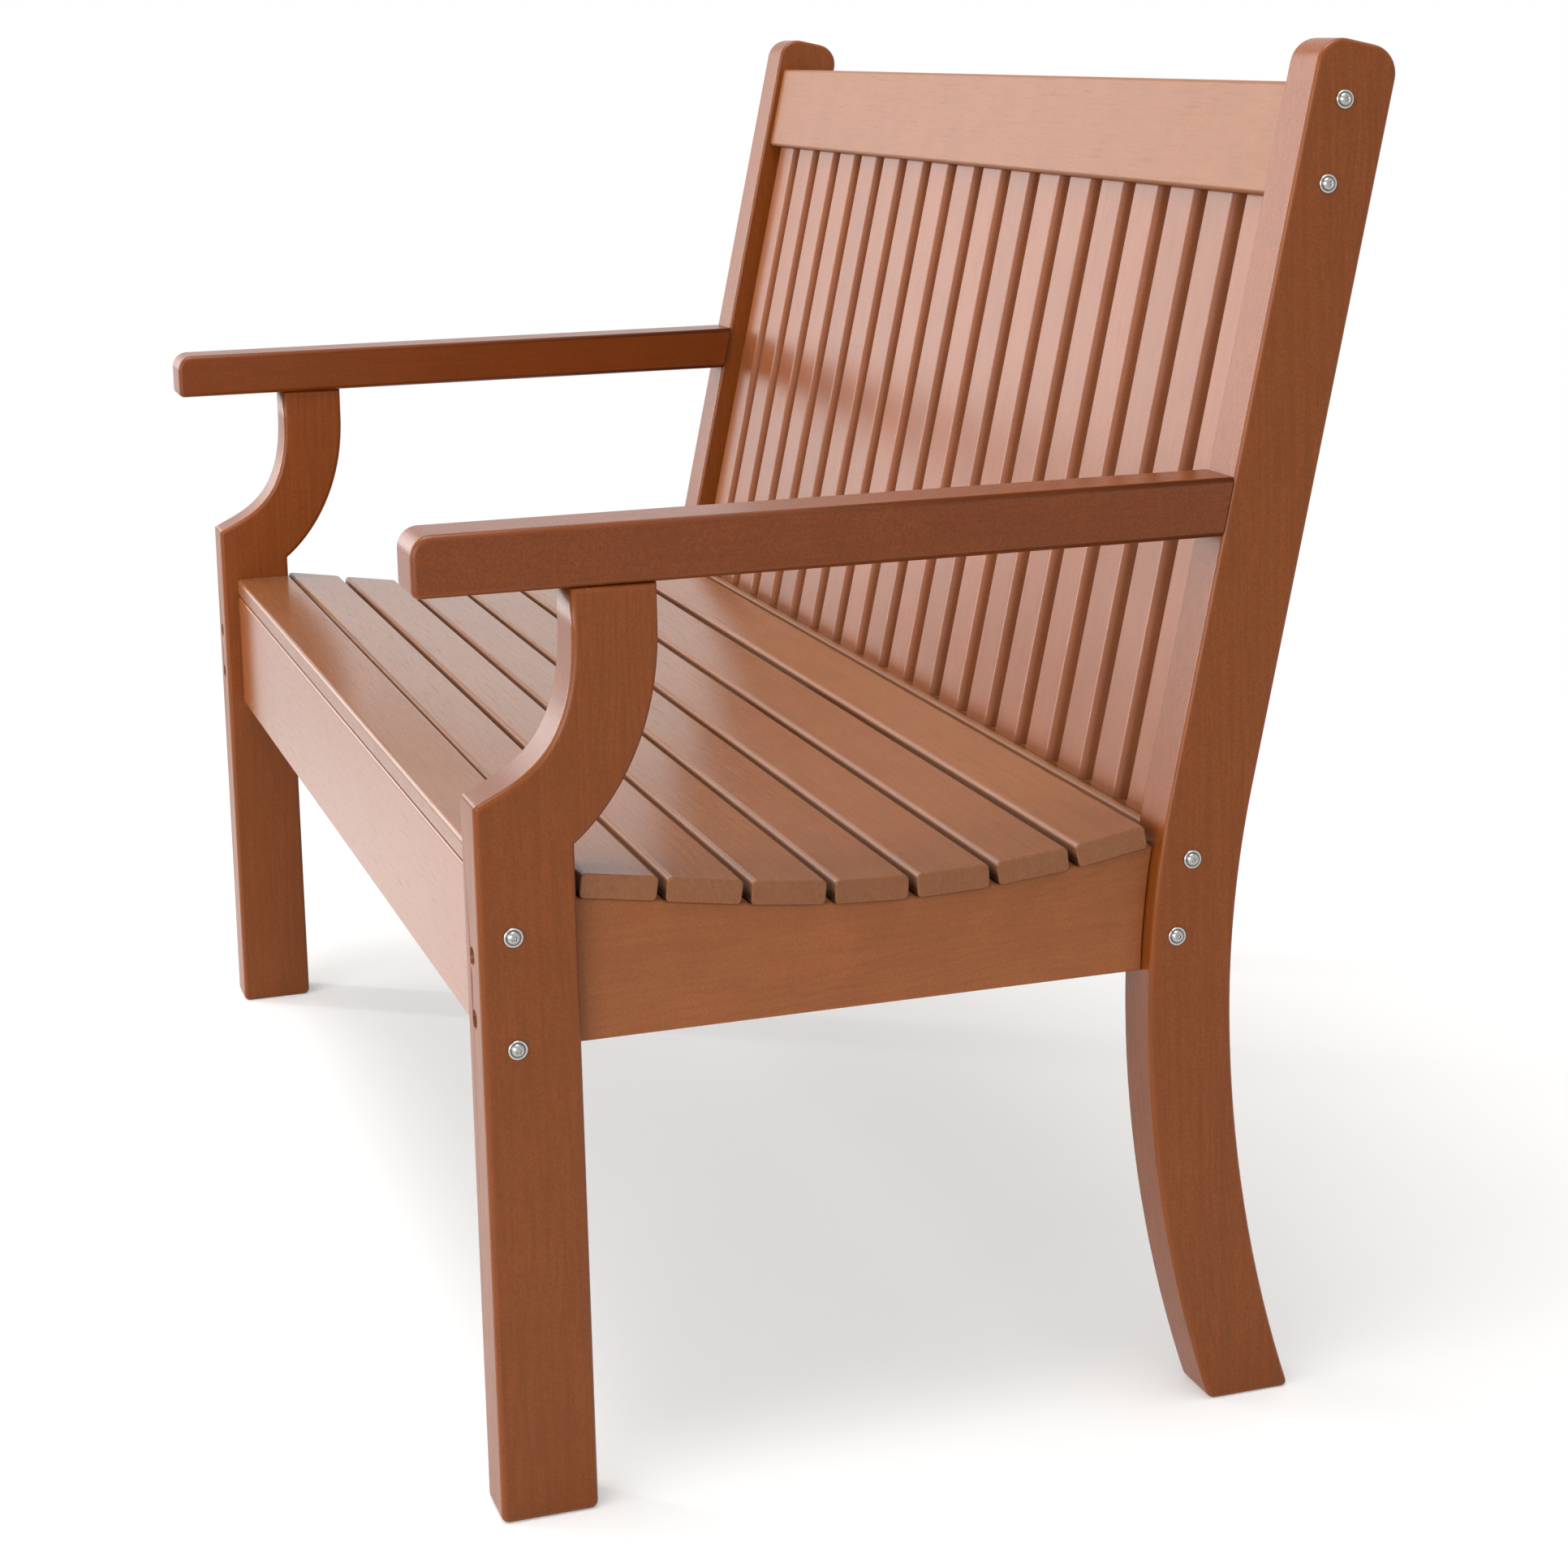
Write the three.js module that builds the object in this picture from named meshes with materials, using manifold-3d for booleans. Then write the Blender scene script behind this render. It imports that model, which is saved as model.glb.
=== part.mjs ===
// Two-seat garden bench in wood-effect polymer timber, held together by stainless bolts.
// Millimetres, +Z up. The bench faces -Y, and left and right are as seen from in front of it.
// While the pieces are laid out, y = 0 is the front face of the front legs. The last lines move
// the finished bench so that the origin is at the bottom centre of its box.
import * as THREE from 'three';
import { mergeVertices } from 'three/addons/utils/BufferGeometryUtils.js';
import Module from 'manifold-3d';

const wasm = await Module();
wasm.setup();

// Overall
const benchWidth = 1200; // outer face of one leg to outer face of the other
const fitGap = 0.3; // clearance wherever two pieces meet
const edgeRadius = 4; // rounded edges of the moulded legs, arms and back rails
const cornerRadius = 5; // foot corners of the legs and lower front corner of the arms

// Front legs: straight up to a shoulder, then a scroll that leans back under the arm
const legThickness = 42;
const frontLegDepth = 62;
const shoulderRise = 45.7; // where the front edge leaves the vertical, above the seat
const notchRise = 17.2; // where the rear edge leaves the vertical, above the seat
const neckSetback = 64.8; // front edge of the neck, behind the front face of the leg
const neckDepth = 54.2;
const neckStraight = 26; // straight length of the neck below the arm
const sweepLead = [25, 14]; // how the concave front edge sets off from the shoulder
const sweepPull = 82; // how far down the neck it straightens
const scrollLead = [28, 22]; // how the convex rear edge sets off from the notch
const scrollPull = 65;

// Rear legs: a sabre foot, a waist, and a straight raked upright in one piece
const rearLegDepth = 59.3; // front edge to rear edge, measured level
const waistSetback = 442; // front edge at the waist, behind the front face of the front leg
const waistHeight = 268;
const footKick = 42.2; // how far the foot stands behind the waist
const bendRadius = 700; // curve from the waist up to the raked upright
const backRake = THREE.MathUtils.degToRad(12.66);
const rearLegHeight = 910.6; // front top corner, before it is rounded
const topCornerRadius = 19;

// Arms
const armWidth = 47;
const armThickness = 38.5;
const armRise = 175.7; // underside of the arm, above the front of the seat
const armOverhang = 31; // how far the arm passes the front leg
const armNoseRadius = 13;
const armTenon = [24, 30, 22]; // tenon on the front leg: along X, along Y, height

// Seat: planks across two side rails, a front rail and a centre bearer
const seatPlankWidth = 49.6;
const plankThickness = 16;
const plankEdgeRadius = 3;
const leastPlankGap = 4; // the seat holds as many planks as fit with this between them
const seatSetback = 13.5; // front edge of the first plank, behind the front face of the leg
const legClearance = 3.6; // front leg and first plank, whichever reaches further back, to the next plank
const seatRearGap = 14; // last plank to the rear leg
const plankEndSetback = 7; // plank ends, inside the outer faces of the legs
const seatFrontHeight = 413.3;
const dishDepth = 27; // how far the seat falls from its front edge to its lowest point
const dishSetback = 285; // lowest point, behind the front face of the front leg
const dishCurve = 1.3; // above 1, the seat falls away gently behind its front edge
const seatRearRise = 15.5;
const boardThickness = 16; // front rail, side rails and bearer
const frontRailHeight = 102;
const sideRailHeight = 95.5; // at its front end, up to the underside of the first plank

// Back: upright planks let into two rails, all raked with the upright of the rear leg
const backRailHeight = 76;
const backRailThickness = 36;
const backRailSetback = 6; // front face of the rails, behind the front edge of the rear leg
const backPlankSetback = 8; // front face of the planks, behind the front face of the rails
const topRailDrop = 30.4; // top of the upright to the top of the top rail, along the rake
const bottomRailDrop = 17.4; // front of the seat to the top of the bottom rail
const backPlankCount = 18;
const backPlankWidth = 47;
const backEndGap = 8.4; // rear leg to the nearest upright plank
const backTenon = 8; // how far a plank enters each rail

// Bolts: 6 mm shanks. The outer ones have a flanged button head, the others sink in a recess.
const shankRadius = 3;
const shankTip = 1; // chamfer at the end of the shank
const flangeRadius = 6.8;
const flangeHeight = 1.1;
const buttonRadius = 4.9;
const buttonHeight = 3.4;
const capRadius = 5;
const capHeight = 6;
const socketAcrossFlats = 4;
const socketDepth = 2.2;
const recessRadius = 6.5;
const recessDepth = 9;
const crossBoltLength = 80; // along X, through a leg into a rail
const longBoltLength = 90; // along Y, through a leg into a side rail or an arm
const boltHoleSpare = 3; // hole left past the tip of a bolt
const frontRailBoltInsets = [11, 20]; // from the lower and the upper edge of the rail
const topRailBoltInsets = [13, 8];
const bottomRailBoltInsets = [10, 14];
const sideRailFrontBoltRise = [20.5, 60.5]; // above the lower edge of the rail
const sideRailRearBoltRise = [10.5, 50.5];

// Worked out from the sizes above
const legCentre = (benchWidth - legThickness) / 2;
const innerSpan = benchWidth - 2 * legThickness;
const boardCentre = seatSetback + boardThickness / 2;
const boardTop = seatFrontHeight - plankThickness - fitGap;
const frontRailBottom = boardTop - frontRailHeight;
const sideRailBottom = boardTop - sideRailHeight;
const armUnderside = seatFrontHeight + armRise;
const footRadius = (footKick ** 2 + waistHeight ** 2) / (2 * footKick);
const rakeStartY = waistSetback + bendRadius * (1 - Math.cos(backRake));
const rakeStartZ = waistHeight + bendRadius * Math.sin(backRake);
const seatRearEdge = frontOfRearLeg(seatFrontHeight) - seatRearGap;
const secondPlankFront = Math.max(seatSetback + seatPlankWidth, frontLegDepth) + legClearance;
const planksBehindFirst = Math.floor(
  (seatRearEdge - secondPlankFront + leastPlankGap) / (seatPlankWidth + leastPlankGap),
);
const seatPlankCount = 1 + planksBehindFirst;
const seatPitch = (seatRearEdge - seatPlankWidth - secondPlankFront) / (planksBehindFirst - 1);
const uprightLength = (rearLegHeight - rakeStartZ) / Math.cos(backRake);
const topRailFoot = uprightLength - topRailDrop - backRailHeight;
const bottomRailTop = (seatFrontHeight - bottomRailDrop - rakeStartZ) / Math.cos(backRake);
const bottomRailFoot = bottomRailTop - backRailHeight;
const backPitch = (innerSpan - 2 * backEndGap - backPlankWidth) / (backPlankCount - 1);
const backPlankLength = topRailFoot - bottomRailTop + 2 * backTenon;
const roundSteps = 2; // least straight steps in a rounded edge or corner
const roundStepLength = 5;
const curveSteps = 10; // straight steps in each long curve
const boltSides = 12;

// y of the front edge of a rear leg at a height
function frontOfRearLeg(z) {
  if (z > rakeStartZ) return rakeStartY + (z - rakeStartZ) * Math.tan(backRake);
  const radius = z < waistHeight ? footRadius : bendRadius;
  return waistSetback + radius - Math.sqrt(radius ** 2 - (z - waistHeight) ** 2);
}

// Height of the seat's upper surface at a distance behind the front face of the front leg
function seatTop(y) {
  const fallStart = seatSetback + seatPlankWidth / 2;
  if (y <= fallStart) return seatFrontHeight;
  if (y >= dishSetback) {
    const back = (y - dishSetback) / (seatRearEdge - dishSetback);
    return seatFrontHeight - dishDepth + seatRearRise * back ** 2;
  }
  const along = (y - fallStart) / (dishSetback - fallStart);
  return seatFrontHeight - dishDepth * Math.sin((along * Math.PI) / 2) ** dishCurve;
}

// Centre and tilt of a seat plank, counted from the front
function seatPlankPlace(index) {
  const front = index === 0 ? seatSetback : secondPlankFront + (index - 1) * seatPitch;
  const middle = front + seatPlankWidth / 2;
  const fall = seatTop(middle + seatPlankWidth / 2) - seatTop(middle - seatPlankWidth / 2);
  const tilt = index === 0 ? 0 : Math.atan2(fall, seatPlankWidth);
  const top = seatTop(middle);
  const half = plankThickness / 2;
  return { y: middle + half * Math.sin(tilt), z: top - half * Math.cos(tilt), tilt };
}

// A point of the raked back, given behind and along the front edge of the upright
function onBack(behind, along) {
  return {
    y: rakeStartY + behind * Math.cos(backRake) + along * Math.sin(backRake),
    z: rakeStartZ - behind * Math.sin(backRake) + along * Math.cos(backRake),
  };
}

// An outline from corners { y, z, radius } and arrays of curve points, in turn
function outlineOf(...parts) {
  const corners = parts.flat();
  const points = corners.flatMap((corner, index) => {
    const here = new THREE.Vector2(corner.y, corner.z);
    if (!corner.radius) return [here];
    const before = corners.at(index - 1);
    const after = corners[(index + 1) % corners.length];
    const back = new THREE.Vector2(before.y, before.z).sub(here).normalize();
    const on = new THREE.Vector2(after.y, after.z).sub(here).normalize();
    const half = Math.acos(THREE.MathUtils.clamp(back.dot(on), -1, 1)) / 2;
    const inward = back.clone().add(on).normalize();
    const middle = here.clone().addScaledVector(inward, corner.radius / Math.sin(half));
    const start = here.clone().addScaledVector(back, corner.radius / Math.tan(half)).sub(middle);
    const end = here.clone().addScaledVector(on, corner.radius / Math.tan(half)).sub(middle);
    const turn = Math.atan2(start.cross(end), start.dot(end));
    const steps = Math.max(roundSteps, Math.ceil((Math.abs(turn) * corner.radius) / roundStepLength));
    return Array.from({ length: steps + 1 }, (_, step) =>
      start.clone().rotateAround(new THREE.Vector2(), (turn * step) / steps).add(middle));
  });
  return new THREE.Shape(points);
}

// Points of a curve from start to end, with its two handles
function curvePoints(start, startHandle, endHandle, end) {
  const points = [start, startHandle, endHandle, end].map((point) => new THREE.Vector2(...point));
  const curve = new THREE.CubicBezierCurve(...points);
  return curve.getPoints(curveSteps).map((point) => ({ y: point.x, z: point.y }));
}

// A rectangle in Y and Z about the origin, with rounded corners
function roundedRectangle(depth, height, radius) {
  const y = depth / 2;
  const z = height / 2;
  return outlineOf({ y: -y, z: -z, radius }, { y, z: -z, radius }, { y, z, radius }, { y: -y, z, radius });
}

// An outline in Y and Z, extruded along X about x = 0. A radius rounds the edges of both sides.
function extrudeAlongX(outline, length, radius = 0) {
  const geometry = new THREE.ExtrudeGeometry(outline, {
    depth: length - 2 * radius,
    bevelEnabled: radius > 0,
    bevelThickness: radius,
    bevelSize: radius,
    bevelOffset: -radius,
    bevelSegments: roundSteps,
  });
  geometry.translate(0, 0, radius - length / 2);
  const axes = [[0, 1, 0], [0, 0, 1], [1, 0, 0]].map((axis) => new THREE.Vector3(...axis));
  return geometry.applyMatrix4(new THREE.Matrix4().makeBasis(...axes));
}

// A round tool from one point to another
function bore(from, to, radius) {
  const start = new THREE.Vector3(...from);
  const reach = new THREE.Vector3(...to).sub(start);
  const geometry = new THREE.CylinderGeometry(radius, radius, reach.length(), boltSides);
  geometry.translate(0, reach.length() / 2, 0);
  const turn = new THREE.Quaternion().setFromUnitVectors(new THREE.Vector3(0, 1, 0), reach.normalize());
  return geometry.applyQuaternion(turn).translate(...start.toArray());
}

// A box between two opposite corners
function block(low, high) {
  const size = high.map((value, axis) => value - low[axis]);
  const middle = high.map((value, axis) => (value + low[axis]) / 2);
  return new THREE.BoxGeometry(...size).translate(...middle);
}

function toSolid(geometry) {
  const bare = geometry.clone();
  bare.deleteAttribute('normal');
  bare.deleteAttribute('uv');
  const merged = mergeVertices(bare);
  const corners = merged.index.array;
  const kept = [];
  for (let i = 0; i < corners.length; i += 3) {
    const [a, b, c] = corners.slice(i, i + 3);
    if (a !== b && b !== c && c !== a) kept.push(a, b, c);
  }
  const vertProperties = new Float32Array(merged.attributes.position.array);
  return new wasm.Manifold(new wasm.Mesh({ numProp: 3, vertProperties, triVerts: new Uint32Array(kept) }));
}

function toGeometry(solid) {
  const mesh = solid.getMesh();
  const geometry = new THREE.BufferGeometry();
  geometry.setAttribute('position', new THREE.BufferAttribute(new Float32Array(mesh.vertProperties), 3));
  geometry.setIndex(new THREE.BufferAttribute(new Uint32Array(mesh.triVerts), 1));
  geometry.computeVertexNormals();
  return geometry;
}

// A piece with other pieces joined to it and tools cut out of it
function shaped(geometry, joined, cuts) {
  let solid = toSolid(geometry);
  for (const extra of joined) solid = solid.add(toSolid(extra));
  for (const tool of cuts) solid = solid.subtract(toSolid(tool));
  return toGeometry(solid);
}

// Moulded and extruded polymer timber, red-brown
function polymerTimber() {
  return new THREE.MeshStandardMaterial({ color: 0x8f5437, roughness: 0.55, metalness: 0 });
}

function stainlessSteel() {
  return new THREE.MeshStandardMaterial({ color: 0xc9c8c3, roughness: 0.3, metalness: 1 });
}

function piece(name, geometry, material = polymerTimber()) {
  const mesh = new THREE.Mesh(geometry, material);
  mesh.name = name;
  return mesh;
}

// A bolt with the seat of its head at the origin and its shank along -Y
function boltGeometry(length, recessed) {
  const headHeight = recessed ? capHeight : buttonHeight;
  const head = recessed
    ? [[capRadius, 0], [capRadius, capHeight - shankTip], [capRadius - shankTip, capHeight]]
    : [
        [flangeRadius, 0],
        [flangeRadius, flangeHeight / 2],
        [flangeRadius - flangeHeight, flangeHeight],
        [buttonRadius, flangeHeight],
        [(buttonRadius + socketAcrossFlats) / 2, (flangeHeight + 2 * buttonHeight) / 3],
        [(buttonRadius + socketAcrossFlats) / 2 - flangeHeight, buttonHeight],
      ];
  const profile = [
    [0, -length],
    [shankRadius - shankTip, -length],
    [shankRadius, shankTip - length],
    [shankRadius, 0],
    ...head,
    [0, headHeight],
  ].map((point) => new THREE.Vector2(...point));
  const body = new THREE.LatheGeometry(profile, boltSides);
  const socketRadius = socketAcrossFlats / Math.sqrt(3);
  const socket = new THREE.CylinderGeometry(socketRadius, socketRadius, 2 * socketDepth, 6);
  return shaped(body, [], [socket.translate(0, headHeight, 0)]);
}

// A bolt whose head sits at a point and whose shank runs along a direction
function bolt(name, seat, direction, length, recessed) {
  const steel = piece(name, boltGeometry(length, recessed), stainlessSteel());
  const shank = new THREE.Vector3(...direction);
  steel.quaternion.setFromUnitVectors(new THREE.Vector3(0, -1, 0), shank);
  steel.position.set(...seat).addScaledVector(shank, -fitGap);
  return steel;
}

const holeRadius = shankRadius + fitGap;
const sides = [['left', -1], ['right', 1]];
const levels = ['lower', 'upper'];

// Where the bolts run, lower one first
const backRailCentre = backRailSetback + backRailThickness / 2;
const bottomRailBoltRise = risesFrom(bottomRailBoltInsets, backRailHeight);
const topRailBoltRise = risesFrom(topRailBoltInsets, backRailHeight);
const bottomRailBolts = bottomRailBoltRise.map((rise) => onBack(backRailCentre, bottomRailFoot + rise));
const topRailBolts = topRailBoltRise.map((rise) => onBack(backRailCentre, topRailFoot + rise));
const frontRailBolts = risesFrom(frontRailBoltInsets, frontRailHeight)
  .map((rise) => ({ y: boardCentre, z: frontRailBottom + rise }));
const sideRailFrontBoltHeights = sideRailFrontBoltRise.map((rise) => sideRailBottom + rise);
const sideRailRearBoltHeights = sideRailRearBoltRise.map((rise) => sideRailBottom + rise);
const armBoltHeight = armUnderside + armThickness / 2;

// Heights of two bolts above the foot of a rail, from their distances to its two edges
function risesFrom([lowerInset, upperInset], railHeight) {
  return [lowerInset, railHeight - upperInset];
}

// Bottom of a recess in the rear face of a rear leg
function rearRecessFloor(z) {
  return frontOfRearLeg(z) + rearLegDepth - recessDepth;
}

function frontLegGeometry() {
  const neckRear = neckSetback + neckDepth;
  const legTop = armUnderside - fitGap;
  const neckFoot = armUnderside - neckStraight;
  const notch = seatFrontHeight + notchRise;
  const shoulder = seatFrontHeight + shoulderRise;
  const outline = outlineOf(
    { y: 0, z: 0, radius: cornerRadius },
    { y: frontLegDepth, z: 0, radius: cornerRadius },
    curvePoints(
      [frontLegDepth, notch],
      [frontLegDepth + scrollLead[0], notch + scrollLead[1]],
      [neckRear, neckFoot - scrollPull],
      [neckRear, neckFoot],
    ),
    { y: neckRear, z: legTop },
    { y: neckSetback, z: legTop },
    curvePoints(
      [neckSetback, neckFoot],
      [neckSetback, neckFoot - sweepPull],
      [sweepLead[0], shoulder + sweepLead[1]],
      [0, shoulder],
    ),
  );
  const [tenonX, tenonY, tenonHeight] = armTenon;
  const middle = neckSetback + neckDepth / 2;
  const tenon = block(
    [-tenonX / 2, middle - tenonY / 2, legTop - neckStraight],
    [tenonX / 2, middle + tenonY / 2, legTop + tenonHeight],
  );
  const crossHoles = frontRailBolts.map(({ y, z }) =>
    bore([-legThickness, y, z], [legThickness, y, z], holeRadius));
  const longHoles = sideRailFrontBoltHeights.flatMap((z) => [
    bore([0, -recessDepth, z], [0, frontLegDepth + recessDepth, z], holeRadius),
    bore([0, -recessDepth, z], [0, recessDepth, z], recessRadius),
  ]);
  const leg = extrudeAlongX(outline, legThickness, edgeRadius);
  return shaped(leg, [tenon], [...crossHoles, ...longHoles]);
}

// Front edge of the rear leg from the foot up to where the upright starts
function rearLegCurve(shift) {
  const heights = [];
  for (let step = 0; step < curveSteps; step += 1) heights.push((waistHeight * step) / curveSteps);
  for (let step = 0; step <= curveSteps / 2; step += 1) {
    heights.push(waistHeight + ((rakeStartZ - waistHeight) * step) / (curveSteps / 2));
  }
  return heights.slice(1).map((z) => ({ y: frontOfRearLeg(z) + shift, z }));
}

function rearLegGeometry() {
  const across = rearLegDepth * Math.cos(backRake);
  const topFront = { y: frontOfRearLeg(rearLegHeight), z: rearLegHeight };
  const topRear = {
    y: topFront.y + across * Math.cos(backRake),
    z: topFront.z - across * Math.sin(backRake),
  };
  const footFront = frontOfRearLeg(0);
  const outline = outlineOf(
    { y: footFront, z: 0, radius: cornerRadius },
    { y: footFront + rearLegDepth, z: 0, radius: cornerRadius },
    rearLegCurve(rearLegDepth),
    { ...topRear, radius: topCornerRadius },
    { ...topFront, radius: topCornerRadius },
    rearLegCurve(0).reverse(),
  );
  const crossHoles = [...bottomRailBolts, ...topRailBolts].map(({ y, z }) =>
    bore([-legThickness, y, z], [legThickness, y, z], holeRadius));
  const longHoles = [...sideRailRearBoltHeights, armBoltHeight].flatMap((z) => {
    const behind = frontOfRearLeg(z) + 2 * rearLegDepth;
    return [
      bore([0, frontOfRearLeg(z) - recessDepth, z], [0, behind, z], holeRadius),
      bore([0, rearRecessFloor(z), z], [0, behind, z], recessRadius),
    ];
  });
  const leg = extrudeAlongX(outline, legThickness, edgeRadius);
  return shaped(leg, [], [...crossHoles, ...longHoles]);
}

function armGeometry() {
  const top = armUnderside + armThickness;
  const outline = outlineOf(
    { y: -armOverhang, z: armUnderside, radius: cornerRadius },
    { y: frontOfRearLeg(armUnderside) - fitGap, z: armUnderside },
    { y: frontOfRearLeg(top) - fitGap, z: top },
    { y: -armOverhang, z: top, radius: armNoseRadius },
  );
  const [tenonX, tenonY, tenonHeight] = armTenon;
  const middle = neckSetback + neckDepth / 2;
  const boltX = legCentre - (benchWidth - armWidth) / 2;
  const mortise = block(
    [boltX - tenonX / 2 - fitGap, middle - tenonY / 2 - fitGap, armUnderside - tenonHeight],
    [boltX + tenonX / 2 + fitGap, middle + tenonY / 2 + fitGap, armUnderside + tenonHeight],
  );
  const boltTip = rearRecessFloor(armBoltHeight) - longBoltLength - boltHoleSpare;
  const boltHole = bore(
    [boltX, frontOfRearLeg(armBoltHeight) + recessDepth, armBoltHeight],
    [boltX, boltTip, armBoltHeight],
    holeRadius,
  );
  return shaped(extrudeAlongX(outline, armWidth, edgeRadius), [], [mortise, boltHole]);
}

// Upper edge of a board that carries the seat planks from one index to the last, front to rear
function plankSeats(firstIndex) {
  const points = [];
  for (let index = firstIndex; index < seatPlankCount; index += 1) {
    const { y, z, tilt } = seatPlankPlace(index);
    const below = plankThickness / 2 + fitGap;
    for (const half of [-seatPlankWidth / 2, seatPlankWidth / 2]) {
      points.push({
        y: y + half * Math.cos(tilt) + below * Math.sin(tilt),
        z: z + half * Math.sin(tilt) - below * Math.cos(tilt),
      });
    }
  }
  return points;
}

function sideRailGeometry() {
  const front = frontLegDepth + fitGap;
  const seats = plankSeats(1).filter((point) => point.y > front);
  const rearTop = seats.at(-1).z;
  const rearEnd = [];
  for (let step = 0; step <= curveSteps / 2; step += 1) {
    const z = sideRailBottom + ((rearTop - sideRailBottom) * step) / (curveSteps / 2);
    rearEnd.push({ y: frontOfRearLeg(z) - fitGap, z });
  }
  const outline = outlineOf(
    { y: front, z: sideRailBottom },
    rearEnd,
    seats.reverse(),
    { y: front, z: seats.at(-1).z },
  );
  const frontTip = recessDepth + longBoltLength + boltHoleSpare;
  const holes = sideRailFrontBoltHeights.map((z) => bore([0, 0, z], [0, frontTip, z], holeRadius));
  for (const z of sideRailRearBoltHeights) {
    const tip = rearRecessFloor(z) - longBoltLength - boltHoleSpare;
    holes.push(bore([0, frontOfRearLeg(z) + recessDepth, z], [0, tip, z], holeRadius));
  }
  return shaped(extrudeAlongX(outline, boardThickness), [], holes);
}

// The centre bearer stands between the front rail and the bottom rail of the back
function bearerGeometry() {
  const front = seatSetback + boardThickness + fitGap;
  const seats = plankSeats(0).filter((point) => point.y > front);
  const faceTop = onBack(backRailSetback - fitGap, bottomRailFoot + backRailHeight);
  const slope = (z) => faceTop.y + (z - faceTop.z) * Math.tan(backRake);
  const rearTop = seats.at(-1).z;
  const outline = outlineOf(
    { y: front, z: sideRailBottom },
    { y: slope(sideRailBottom), z: sideRailBottom },
    { y: slope(rearTop), z: rearTop },
    seats.reverse(),
    { y: front, z: boardTop },
  );
  return extrudeAlongX(outline, boardThickness);
}

function frontRailGeometry() {
  const outline = roundedRectangle(boardThickness, frontRailHeight, plankEdgeRadius);
  const board = extrudeAlongX(outline, innerSpan - 2 * fitGap);
  board.translate(0, boardCentre, (boardTop + frontRailBottom) / 2);
  return shaped(board, [], railBoltHoles(frontRailBolts));
}

// Holes along X for the bolts at both ends of a rail
function railBoltHoles(places) {
  const tip = benchWidth / 2 - crossBoltLength - boltHoleSpare;
  return places.flatMap(({ y, z }) => sides.map(([, side]) =>
    bore([side * benchWidth / 2, y, z], [side * tip, y, z], holeRadius)));
}

function backPlankX(index) {
  return (index - (backPlankCount - 1) / 2) * backPitch;
}

// A rail of the back, with its foot at z = 0 and a mortise for each plank in one of its edges
function backRailGeometry(boltRises, planksEnterTop) {
  const length = innerSpan - 2 * fitGap;
  const rail = extrudeAlongX(roundedRectangle(backRailThickness, backRailHeight, edgeRadius), length);
  rail.translate(0, backRailCentre, backRailHeight / 2);
  const plankFront = backRailSetback + backPlankSetback;
  const depth = backTenon + fitGap;
  const mouth = planksEnterTop ? backRailHeight : 0;
  const floor = planksEnterTop ? mouth - depth : depth;
  const cuts = railBoltHoles(boltRises.map((z) => ({ y: backRailCentre, z })));
  for (let index = 0; index < backPlankCount; index += 1) {
    const x = backPlankX(index);
    const half = backPlankWidth / 2 + fitGap;
    cuts.push(block(
      [x - half, plankFront - fitGap, Math.min(floor, 2 * mouth - floor)],
      [x + half, plankFront + plankThickness + fitGap, Math.max(floor, 2 * mouth - floor)],
    ));
  }
  return shaped(rail, [], cuts);
}

// A seat plank about its own centre, lying along X
function seatPlankGeometry(length) {
  return extrudeAlongX(roundedRectangle(seatPlankWidth, plankThickness, plankEdgeRadius), length);
}

// An upright plank about its own centre, standing along Z
function backPlankGeometry() {
  const section = roundedRectangle(plankThickness, backPlankWidth, plankEdgeRadius);
  const plank = extrudeAlongX(section, backPlankLength);
  return plank.rotateY(-Math.PI / 2);
}

function addLegsAndArms(bench) {
  for (const [side, sign] of sides) {
    const x = sign * legCentre;
    const frontLeg = piece(`front_leg_${side}`, frontLegGeometry());
    const rearLeg = piece(`rear_leg_${side}`, rearLegGeometry());
    frontLeg.position.x = x;
    rearLeg.position.x = x;
    const arm = piece(`arm_${side}`, armGeometry());
    arm.position.x = (sign * (benchWidth - armWidth)) / 2;
    if (sign < 0) arm.geometry = mirrored(arm.geometry);
    bench.add(frontLeg, rearLeg, arm);
  }
}

// The same piece for the other hand
function mirrored(geometry) {
  const other = geometry.clone().applyMatrix4(new THREE.Matrix4().makeScale(-1, 1, 1));
  const corners = other.index.array;
  for (let i = 0; i < corners.length; i += 3) {
    [corners[i], corners[i + 1]] = [corners[i + 1], corners[i]];
  }
  other.computeVertexNormals();
  return other;
}

function addSeat(bench) {
  bench.add(piece('front_rail', frontRailGeometry()));
  bench.add(piece('seat_bearer', bearerGeometry()));
  for (const [side, sign] of sides) {
    const rail = piece(`side_rail_${side}`, sideRailGeometry());
    rail.position.x = sign * legCentre;
    bench.add(rail);
  }
  for (let index = 0; index < seatPlankCount; index += 1) {
    const length = index === 0 ? innerSpan - 2 * fitGap : benchWidth - 2 * plankEndSetback;
    const plank = piece(`seat_plank_${index + 1}`, seatPlankGeometry(length));
    const { y, z, tilt } = seatPlankPlace(index);
    plank.position.set(0, y, z);
    plank.rotation.x = tilt;
    bench.add(plank);
  }
}

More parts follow.
